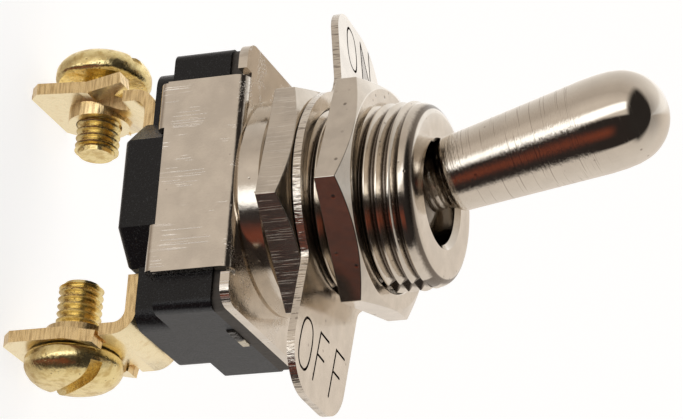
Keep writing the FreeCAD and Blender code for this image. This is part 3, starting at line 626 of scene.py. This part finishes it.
def lug_metal():
    finish = Finish("rubbed lug", 1.0, 0.3, PLAIN_LUG)
    x, y, z = finish.place.split()
    # Outside this band the lug is darkened with painted shade.
    lit_band = window(y + finish.grain(0.3) * 0.8, -0.1, 1.0, 0.15)
    finish.show("Base Color", finish.mix(lit_band, LUG_SHADE, LUG_LIT))
    finish.relief(finish.grain(0.35), 0.25)
    return finish.material


def plain_metal(name, colour, rough):
    finish = Finish(name, 1.0, rough, colour)
    fine = finish.grain(0.08, (1, 1, 0.2), 3.0)
    finish.show("Base Color", finish.mix(fine, shade(colour, 0.7), shade(colour, 1.1)))
    finish.show("Roughness", fine * 0.15 + rough)
    finish.relief(fine, 0.01)
    return finish.material


print("small metals defined")

# %% [markdown]
# ## Turned pieces
# A lathe outline makes most of this switch. The outline is a list of radius
# and height pairs in millimetres, spun round an axis. A modifier could spin
# it, but skinning the rows in code lets a row move as it goes round, which
# hex flats and threads need.

# %% Putting a mesh in the scene
SHARP_ANGLE = 32
WELD_MESH = 2e-7


def shade_smooth(piece, sharp=SHARP_ANGLE):
    for polygon in piece.data.polygons:
        polygon.use_smooth = True
    piece.data.set_sharp_from_angle(angle=math.radians(sharp))


def bake(piece, matrix):
    """Put a placement into the mesh, so the object stays at the origin."""
    piece.data.transform(matrix)
    piece.data.update()


def object_from(name, shape, material):
    mesh = bpy.data.meshes.new(name)
    shape.to_mesh(mesh)
    shape.free()
    mesh.materials.append(material)
    made = bpy.data.objects.new(name, mesh)
    bpy.context.scene.collection.objects.link(made)
    return made


def add_piece(name, shape, body, material, node):
    """Put a bmesh in the scene, on its body, in its finish, for its solid."""
    bmesh.ops.remove_doubles(shape, verts=shape.verts, dist=WELD_MESH)
    bmesh.ops.recalc_face_normals(shape, faces=shape.faces)
    piece = object_from(name, shape, material)
    shade_smooth(piece)
    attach(piece, body)
    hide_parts(node)
    return piece


print("edges over", SHARP_ANGLE, "degrees stay sharp")


# %% Spinning an outline
def spin_rows(rows, angles, closed=True):
    """Skin rows of points; each row is a function from an angle to (r, z) in mm."""
    shape = bmesh.new()
    grid = []
    for angle in angles:
        line = []
        for row in rows:
            r, z = row(angle)
            at = (r * math.cos(angle) * MM, r * math.sin(angle) * MM, z * MM)
            line.append(shape.verts.new(at))
        grid.append(line)
    count = len(rows)
    for a, b in zip(grid, grid[1:]):
        for j in range(count if closed else count - 1):
            corners = [a[j], b[j], b[(j + 1) % count], a[(j + 1) % count]]
            shape.faces.new(corners)
    return shape


def fixed(r, z):
    return lambda angle: (r, z)


def full_turn(steps):
    return [2 * math.pi * i / steps for i in range(steps + 1)]


def arc(centre_r, centre_z, radius, start, end, steps):
    """Points along part of a circle in the outline, angles in degrees."""
    points = []
    for i in range(steps + 1):
        t = math.radians(start + (end - start) * i / steps)
        points.append((centre_r + radius * math.cos(t), centre_z + radius * math.sin(t)))
    return points


print("a coarse turn has", len(full_turn(8)), "columns, the first and last in one place")

# %% [markdown]
# ## Threads
# A thread is a groove that climbs by its pitch in each turn. Stacked rings
# look like one from afar, but their ridges don't climb. Here each row of
# points climbs by a whole pitch in a turn, so the crest runs through the
# mesh as one clean line. It fades at its upper end, which is the lip of the
# bushing and the seat under a screw's head.

# %% A climbing thread
THREAD_FLAT = 0.12
# The fade takes a share of a pitch and ends a share of the depth below the crest.
FADE_PITCHES, FADE_DEPTH = 0.35, 0.35


def thread_depth(phase):
    """0 at a root and 1 at a crest, for a place within one pitch."""
    wave = abs(2 * (phase % 1.0) - 1)
    return min(max((wave - THREAD_FLAT) / (1 - 2 * THREAD_FLAT), 0.0), 1.0)


def helix_rows(root, crest, pitch, low, high, per_turn, trim=None):
    """Rows of a V thread from high down to low, each one climbing in a turn."""
    end_r = crest - FADE_DEPTH * (crest - root)

    def make(index):
        phase = index / per_turn

        def row(angle):
            z = high + pitch - phase * pitch - pitch * angle / (2 * math.pi)
            fade = min(max((high - z) / (FADE_PITCHES * pitch), 0.0), 1.0)
            r = root + (crest - root) * thread_depth(phase)
            r = end_r + (r - end_r) * fade
            z = min(max(z, low), high)
            return (trim(angle, r) if trim else r), z
        return row

    count = int(math.ceil(((high - low) / pitch + 2) * per_turn))
    return [make(i) for i in range(count + 1)]


print("thread crests and roots are each flat for", THREAD_FLAT, "of a pitch")

# %% [markdown]
# ## Bushing
# The bushing is a die casting with a cut thread. A V groove runs down one
# side for the lock washer's tongue, so the thread breaks into small teeth
# there. The groove could be a Boolean cut, but limiting the radius near its
# angle keeps the mesh clean, with extra columns of points for its walls.

# %% Keyway along the thread
THREAD_R, THREAD_ROOT, THREAD_PITCH = 5.95, 5.48, 0.794
GROOVE_DEPTH = 0.85
GROOVE_REACH = math.radians(12)
# Fine columns of points stand round the groove, and coarse ones elsewhere.
FINE_STEP, FINE_COUNT = math.radians(0.45), 24
FINE_REACH = math.radians(11)
COARSE_STEPS = 200


def groove_limit(angle, r):
    away = (angle - GROOVE_ANGLE + math.pi) % (2 * math.pi) - math.pi
    if abs(away) > GROOVE_REACH:
        return r
    return min(r, (THREAD_R - GROOVE_DEPTH) / (math.cos(away) - abs(math.sin(away))))


def bushing_angles():
    fine = [GROOVE_ANGLE + FINE_STEP * i for i in range(-FINE_COUNT, FINE_COUNT + 1)]
    coarse = [a for a in full_turn(COARSE_STEPS) if abs(a - GROOVE_ANGLE) > FINE_REACH]
    within_a_turn = [a if a >= 0 else a + 2 * math.pi for a in fine]
    ends = [0.0, 2 * math.pi]
    return sorted(set(round(a, 6) for a in coarse + within_a_turn + ends))


print("bushing columns:", len(bushing_angles()))

# %% Bushing
LIP_TOP, LIP_R, LIP_ROUND = 3.4, 5.8, 0.8
LIP_FLAT_R = 4.3
MOUTH_R, MOUTH_EDGE = 3.1997, 0.32
THREAD_TOP, THREAD_END = 2.6, -6.0
COLLAR_R, COLLAR_END, COLLAR_EDGE = 6.9, -7.6, 0.12
FOOT_R, FOOT_END = 4.84, -8.5
SWAGE_R, SWAGE_TOP = 5.14, -8.2
BORE_R = 3.94
SEAT_FOOT, SEAT_TOP = -0.127, 1.461

lip = [(MOUTH_R + MOUTH_EDGE, LIP_TOP), (LIP_FLAT_R, LIP_TOP)]
lip += arc(LIP_R - LIP_ROUND, THREAD_TOP, LIP_ROUND, 90, 0, 8)
collar = [(COLLAR_R - COLLAR_EDGE, THREAD_END), (COLLAR_R, THREAD_END - COLLAR_EDGE),
          (COLLAR_R, COLLAR_END + COLLAR_EDGE), (COLLAR_R - COLLAR_EDGE, COLLAR_END)]
foot = [(FOOT_R, COLLAR_END), (FOOT_R, SWAGE_TOP), (SWAGE_R, SWAGE_TOP), (FOOT_R, FOOT_END)]
inside = [(BORE_R, FOOT_END), (BORE_R, SEAT_FOOT), (MOUTH_R, SEAT_TOP),
          (MOUTH_R, LIP_TOP - MOUTH_EDGE)]
outline = [fixed(r, z) for r, z in lip]
outline += helix_rows(THREAD_ROOT, THREAD_R, THREAD_PITCH, THREAD_END, THREAD_TOP,
                      per_turn=14, trim=groove_limit)
outline += [fixed(r, z) for r, z in collar + foot + inside]
bushing = add_piece("threaded_bushing", spin_rows(outline, bushing_angles()), "switch_body",
                    nickel_thread(), "bushing")
print("bushing vertices:", len(bushing.data.vertices))

# %% [markdown]
# ## Hex nuts
# A nut is six flats and a chamfer turned on its front, so the chamfer meets
# each flat in a curved line. Here the columns of points run round the hex
# outline, and the height of its top edge falls with the radius, which gives
# that line by itself. A small bevel catches the light along every edge.

# %% Nut outline
NUT_FLAT, NUT_HEIGHT = 7.05, 1.95
NUT_FACE_R, CORNER_DROP = 6.95, 0.62
NUT_BORE_R, NUT_MOUTH_R = 5.6, 6.02
FRONT_MOUTH, BACK_MOUTH = 0.42, 0.4
SIDE_ROW = 0.7


def hex_radius(angle, turn):
    away = (angle - turn + math.pi / 6) % (math.pi / 3) - math.pi / 6
    return NUT_FLAT / math.cos(math.pi / 6 - abs(away))


def nut_rows(back, turn):
    front = back + NUT_HEIGHT
    slope = CORNER_DROP / (NUT_FLAT / math.cos(math.pi / 6) - NUT_FACE_R)

    def chamfer(share):
        def row(angle):
            r = NUT_FACE_R + (hex_radius(angle, turn) - NUT_FACE_R) * share
            return r, front - slope * (r - NUT_FACE_R)
        return row

    def side(z):
        return lambda angle: (hex_radius(angle, turn), z)

    rows = [fixed(NUT_BORE_R, back + BACK_MOUTH), fixed(NUT_BORE_R, front - FRONT_MOUTH)]
    rows += [fixed(NUT_MOUTH_R, front), fixed(NUT_FACE_R, front), chamfer(0.5)]
    rows += [chamfer(1.0), side(back + SIDE_ROW), side(back), fixed(NUT_MOUTH_R, back)]
    return rows


print("nut across flats:", 2 * NUT_FLAT, "mm")

# %% Nuts
FRONT_NUT_TURN, REAR_NUT_TURN = 3.892, 3.972
REAR_NUT_BACK = -5.85
NUT_COLUMNS = 144
NUT_BEVEL = 0.07


def soften(piece, width, segments=3, angle=24):
    bevel = piece.modifiers.new("worn edges", "BEVEL")
    bevel.width = width * MM
    bevel.segments = segments
    bevel.limit_method = "ANGLE"
    bevel.angle_limit = math.radians(angle)
    bevel.harden_normals = True
    return piece


def hex_nut(name, back, turn, body, material, node):
    """Columns start at a corner, so that every corner has one."""
    shift = turn % (math.pi / 3)
    shape = spin_rows(nut_rows(back, turn), [shift + a for a in full_turn(NUT_COLUMNS)])
    return soften(add_piece(name, shape, body, material, node), NUT_BEVEL)


front_nut = hex_nut("front_hex_nut", -NUT_HEIGHT, FRONT_NUT_TURN, "front_nut_body",
                    nickel_cast(), "front_nut")
rear_nut = hex_nut("rear_hex_nut", REAR_NUT_BACK, REAR_NUT_TURN, "rear_nut_body",
                   nickel_milled(), "rear_nut")
print("nut faces:", len(front_nut.data.polygons), "and", len(rear_nut.data.polygons))

# %% [markdown]
# ## Legend plate
# The plate is thin stamped sheet with ON and OFF struck into it. Its outline
# is the solid's own. The letters could be a picture or a bump, but they are
# cut for real, so they hold their shadow from any side. Each stroke is a thin
# bar or band taken out with a Boolean, which leaves its dark finish in the
# cut.

# %% Letter strokes
PLATE_FRONT = -3.25
STROKE, STROKE_DEPTH, CUTTER_ABOVE = 0.17, 0.13, 0.3
STROKE_FLOOR, CUTTER_TOP = PLATE_FRONT - STROKE_DEPTH, PLATE_FRONT + CUTTER_ABOVE
CAP_STEPS = 8


def extrude_loop(shape, rim):
    bottom = [shape.verts.new((p.x * MM, p.y * MM, STROKE_FLOOR * MM)) for p in rim]
    top = [shape.verts.new((p.x * MM, p.y * MM, CUTTER_TOP * MM)) for p in rim]
    shape.faces.new(bottom[::-1])
    shape.faces.new(top)
    for i in range(len(rim)):
        j = (i + 1) % len(rim)
        shape.faces.new([bottom[i], bottom[j], top[j], top[i]])


def bar(shape, start, end):
    """A round-ended bar between two points of the plate, in millimetres."""
    a, b = Vector(start), Vector(end)
    along = (b - a).normalized()
    lean = math.atan2(along.y, along.x)
    rim = []
    for tip, first in ((b, lean - math.pi / 2), (a, lean + math.pi / 2)):
        for i in range(CAP_STEPS + 1):
            t = first + math.pi * i / CAP_STEPS
            rim.append(tip + Vector((math.cos(t), math.sin(t))) * STROKE / 2)
    extrude_loop(shape, rim)


print("strokes are", STROKE, "mm wide and", STROKE_DEPTH, "mm deep")

# %% The letter O
# A power below 1 pulls an oval towards a rectangle.
O_STEPS, O_SQUARENESS = 48, 0.8


def ring(shape, middle, half_tall, half_wide):
    """A band round a squarish oval."""
    loops = []
    for grow in (-STROKE / 2, STROKE / 2):
        for z in (STROKE_FLOOR, CUTTER_TOP):
            loop = []
            for i in range(O_STEPS):
                t = 2 * math.pi * i / O_STEPS
                c, s = math.cos(t), math.sin(t)
                x = middle[0] + math.copysign(abs(c) ** O_SQUARENESS, c) * (half_tall + grow)
                y = middle[1] + math.copysign(abs(s) ** O_SQUARENESS, s) * (half_wide + grow)
                loop.append(shape.verts.new((x * MM, y * MM, z * MM)))
            loops.append(loop)
    inner_low, inner_high, outer_low, outer_high = loops
    for first, second in ((inner_low, inner_high), (inner_high, outer_high),
                          (outer_high, outer_low), (outer_low, inner_low)):
        for i in range(O_STEPS):
            j = (i + 1) % O_STEPS
            shape.faces.new([first[i], first[j], second[j], second[i]])


print("an O has", O_STEPS, "corners")

# %% The two words
# Places are in millimetres on the plate, before it is turned and bent.
O_HALF_TALL, OFF_O_HALF_WIDE, ON_O_HALF_WIDE = 1.71, 0.9, 0.85
OFF_O_AT, ON_O_AT = (11.73, -1.67), (-12.06, -0.75)
F_CORNERS = [(9.70, 0.14), (9.28, 2.72)]
F_STROKES = [((0.0, 0.0), (3.45, -0.04)), ((0.02, 0.0), (-0.14, 1.35)),
             ((1.58, 0.0), (1.45, 1.08))]
N_STROKES = [((-14.33, 1.17), (-11.11, 1.24)), ((-14.33, 1.19), (-11.5, 2.84)),
             ((-14.79, 2.86), (-11.5, 2.86))]


def word_off(shape):
    ring(shape, OFF_O_AT, O_HALF_TALL, OFF_O_HALF_WIDE)
    for x, y in F_CORNERS:
        for (ax, ay), (bx, by) in F_STROKES:
            bar(shape, (x + ax, y + ay), (x + bx, y + by))


def word_on(shape):
    ring(shape, ON_O_AT, O_HALF_TALL, ON_O_HALF_WIDE)
    for start, end in N_STROKES:
        bar(shape, start, end)


print("OFF has", 2 * len(F_STROKES), "bars and ON has", len(N_STROKES))

# %% Cutting tools
PLATE_TURN = math.radians(-12.8)
PLATE_BEND = math.radians(11.6)
BEND_LINE = Vector((-7.4, 0.0, -3.5)) * MM


def cutter(name, draw, bend, dark):
    """A word as a solid, turned with the plate and bent with its wing."""
    shape = bmesh.new()
    draw(shape)
    bmesh.ops.recalc_face_normals(shape, faces=shape.faces)
    tool = object_from(name, shape, dark)
    to_line = Matrix.Translation(BEND_LINE)
    fold = to_line @ Matrix.Rotation(-bend, 4, "Y") @ Matrix.Translation(-BEND_LINE)
    tool.matrix_world = Matrix.Rotation(PLATE_TURN, 4, "Z") @ fold
    return tool


def cut_away(piece, tool):
    """Apply a Boolean difference and drop the tool."""
    cut = piece.modifiers.new("cut", "BOOLEAN")
    cut.operation = "DIFFERENCE"
    cut.solver = "EXACT"
    cut.object = tool
    cut.use_self = True
    cut.material_mode = "TRANSFER"
    bpy.context.view_layer.update()
    evaluated = piece.evaluated_get(bpy.context.evaluated_depsgraph_get())
    carved = bpy.data.meshes.new_from_object(evaluated)
    piece.modifiers.clear()
    piece.data = carved
    bpy.data.objects.remove(tool)


print("the ON wing is bent by", round(math.degrees(PLATE_BEND), 1), "degrees")

# %% Legend plate
WELD_SOLID = 2e-6
FLAT_WITHIN = math.radians(0.5)
PLATE_SHARP_ANGLE = 14


def copy_of(node):
    """A welded copy of a solid's mesh, with its flat faces merged."""
    shape = bmesh.new()
    shape.from_mesh(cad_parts[node].data)
    bmesh.ops.remove_doubles(shape, verts=shape.verts, dist=WELD_SOLID)
    bmesh.ops.dissolve_limit(shape, angle_limit=FLAT_WITHIN, verts=shape.verts,
                             edges=shape.edges)
    return shape


plate = add_piece("legend_plate", copy_of("position_plate"), "switch_body",
                  nickel_plate(), "position_plate")
struck = groove_dark()
for title, draw, bend in (("word_off", word_off, 0.0), ("word_on", word_on, PLATE_BEND)):
    cut_away(plate, cutter(title, draw, bend, struck))
shade_smooth(plate, PLATE_SHARP_ANGLE)
print("plate faces after the letters:", len(plate.data.polygons))

# %% [markdown]
# ## Lever
# The handle is one turned piece: a ball in the bushing, a short neck, and a
# bat that widens slowly to a round cap. Its outline is drawn upright and the
# whole piece is then leaned towards ON, which is how it lies at rest.

# %% The bat's rounded end
BAT_WIDE, BAT_TIP = 14.9, 19.34
CAP_R = 3.055
CAP_SPAN = BAT_TIP - BAT_WIDE
ARC_STEPS = 20


def bat_cap():
    """A slack bow from the bat's widest ring, then a round cap."""
    bow = [(CAP_R, BAT_WIDE), (CAP_R + 0.01, BAT_WIDE + CAP_SPAN * 0.2),
           (CAP_R * 0.985, BAT_WIDE + CAP_SPAN * 0.38)]
    shoulder_r, drop = CAP_R * 0.94, CAP_SPAN * 0.48
    cap_r = (shoulder_r ** 2 + drop ** 2) / (2 * drop)
    start = math.degrees(math.atan2(cap_r - drop, shoulder_r))
    return bow + arc(0, BAT_TIP - cap_r, cap_r, start, 90, ARC_STEPS)[:-1]


print("the cap is", round(CAP_SPAN, 2), "mm long")

# %% Lever
BALL_R, BALL_ANGLE = 3.9, 60.8
NECK_R = 1.9
NECK_START, NECK_END = 3.6, 4.35
SHOULDER = [(1.93, 4.5), (2.02, 4.68), (2.36, 5.22), (2.42, 5.4)]
TAPER_START_R, TAPER_START = 2.44, 5.7
TAPER_END_R, TAPER_LENGTH = 3.05, 9.0
TAPER_STEPS = 9
TAIL_R, TAIL_EDGE = 1.9, 0.25
TAIL_END, TAIL_START = -8.2, -3.405
TAIL_BORE_R, TAIL_BORE_TOP = 1.2, -2.1
LEVER_COLUMNS = 128

bat = [(TAIL_R - TAIL_EDGE, TAIL_END), (TAIL_R, TAIL_END + TAIL_EDGE), (TAIL_R, TAIL_START)]
bat += arc(0, 0, BALL_R, -BALL_ANGLE, BALL_ANGLE, ARC_STEPS)
bat += [(NECK_R, NECK_START), (NECK_R, NECK_END)] + SHOULDER
for i in range(TAPER_STEPS + 1):
    wider = (TAPER_END_R - TAPER_START_R) * i / TAPER_STEPS
    bat.append((TAPER_START_R + wider, TAPER_START + TAPER_LENGTH * i / TAPER_STEPS))
bat += bat_cap() + [(0.0, BAT_TIP)]
bat += [(0.0, TAIL_BORE_TOP), (TAIL_BORE_R, TAIL_BORE_TOP), (TAIL_BORE_R, TAIL_END)]
shape = spin_rows([fixed(r, z) for r, z in bat], full_turn(LEVER_COLUMNS))
lever = add_piece("bat_lever_piece", shape, "bat_lever", nickel_turned(),
                  "lever")
bake(lever, Matrix.Translation((0, 0, PIVOT_Z * MM)) @ Matrix.Rotation(-TILT, 4, "Y"))
print("lever leans", round(math.degrees(TILT), 2), "degrees")

# %% [markdown]
# ## Terminal screws
# Each screw is a slotted pan head on a 3 mm thread. The head and the thread
# are one outline, and the slot is a Boolean cut. The screw lies along X, and
# it is only ever turned, not mirrored, so both threads stay right-handed.

# %% Screw outline and slot
SCREW_ROOT, SCREW_CREST, SCREW_PITCH = 1.17, 1.47, 0.5
SCREW_THREAD_TOP, SCREW_THREAD_END = -0.02, -4.7
SCREW_TIP_R, SCREW_END = 1.15, -5.0
SCREW_COLUMNS = 72
HEAD = [(0.0, 2.0), (1.0, 1.985), (1.7, 1.93), (2.1, 1.86), (2.5, 1.7), (2.82, 1.46),
        (3.05, 1.16), (3.18, 0.88), (3.2, 0.7), (3.2, 0.32), (3.1, 0.12), (2.95, 0.0), (1.6, 0.0)]
SLOT_LONG, SLOT_WIDE, SLOT_TALL = 8.0, 0.85, 2.0
SLOT_MIDDLE = 2.0


def screw_rows():
    rows = [fixed(r, z) for r, z in HEAD]
    rows += helix_rows(SCREW_ROOT, SCREW_CREST, SCREW_PITCH, SCREW_THREAD_END,
                       SCREW_THREAD_TOP, per_turn=10)
    return rows + [fixed(SCREW_TIP_R, SCREW_END), fixed(0.0, SCREW_END)]


def slot_tool():
    """A box across the head, whose lower face is the slot's floor."""
    shape = bmesh.new()
    bmesh.ops.create_cube(shape, size=1.0)
    for vert in shape.verts:
        x, y, z = vert.co
        vert.co = Vector((x * SLOT_LONG, y * SLOT_WIDE, z * SLOT_TALL + SLOT_MIDDLE)) * MM
    return object_from("slot_tool", shape, screw_brass)


screw_brass = brass_turned()
print("slot floor at", SLOT_MIDDLE - SLOT_TALL / 2, "mm above the head's seat")

# %% Screws
SCREW_Z = -21.1
OFF_SEAT, ON_SEAT = 9.08, -10.15
OFF_SLOT_TURN, ON_SLOT_TURN = math.radians(35), math.radians(20)
SCREW_BEVEL = 0.04


def terminal_screw(name, seat, direction, slot_turn, body, node):
    piece = add_piece(name, spin_rows(screw_rows(), full_turn(SCREW_COLUMNS), False), body,
                      screw_brass, node)
    cut_away(piece, slot_tool())
    shade_smooth(piece)
    lay = Matrix.Rotation(direction * math.pi / 2, 4, "Y")
    spin = Matrix.Rotation(direction * slot_turn, 4, "Z")
    bake(piece, Matrix.Translation((seat * MM, 0, SCREW_Z * MM)) @ lay @ spin)
    return soften(piece, SCREW_BEVEL, 2, 40)


off_screw = terminal_screw("off_terminal_screw", OFF_SEAT, 1, OFF_SLOT_TURN,
                           "off_screw_body", "off_screw")
on_screw = terminal_screw("on_terminal_screw", ON_SEAT, -1, ON_SLOT_TURN,
                          "on_screw_body", "on_screw")
print("screw faces:", len(off_screw.data.polygons), "and", len(on_screw.data.polygons))

# %% [markdown]
# ## Pieces that keep their solids
# The moulding, the saddle, the terminals and the working parts inside have
# the right shape already, so they only get their finishes. Modifiers round
# the edges of the moulding, the terminals and the lug, which could also be
# done in the solids, but such small radii are quicker here. The saddle, the
# fibre sheet, the rivets and the hidden parts keep the edges they have.

# %% Dressing a solid
def dress(node, material, width=0.0, segments=2, angle=35):
    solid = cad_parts[node]
    for slot in solid.material_slots:
        slot.material = material
    if width:
        weld = solid.modifiers.new("weld", "WELD")
        weld.merge_threshold = WELD_SOLID
        flat = solid.modifiers.new("merge flats", "DECIMATE")
        flat.decimate_type = "DISSOLVE"
        flat.angle_limit = FLAT_WITHIN
        soften(solid, width, segments, angle)


terminal_brass = brass_sheet()
dress("housing", black_moulding(), 0.3, 4, 30)
dress("insulator_sheet", dark_fibre())
dress("frame", nickel_sheet())
dress("off_terminal", terminal_brass, 0.06, 2, 40)
dress("on_terminal", terminal_brass, 0.06, 2, 40)
for node in ("off_rivet", "on_rivet"):
    dress(node, terminal_brass)
dress("end_lug", lug_metal(), 0.1, 3)
print("outer solids dressed")

# %% Working parts inside
STEEL, SPRING_STEEL = (0.55, 0.55, 0.56), (0.45, 0.45, 0.47)
COPPER, SILVER, STRIP_BRASS = (0.72, 0.42, 0.26), (0.86, 0.85, 0.82), (0.80, 0.62, 0.32)

dress("lever_pin", plain_metal("pin steel", STEEL, 0.2))
dress("lever_spring", plain_metal("spring steel", SPRING_STEEL, 0.3))
dress("plunger", black_moulding())
dress("rocker", plain_metal("copper blade", COPPER, 0.25))
silver = plain_metal("contact silver", SILVER, 0.25)
dress("rocker_contact", silver)
dress("fixed_contact", silver)
strip_brass = plain_metal("strip brass", STRIP_BRASS, 0.25)
dress("fixed_strip", strip_brass)
dress("cradle", strip_brass)
print("inner solids dressed")

# %% Finish
bpy.context.view_layer.update()
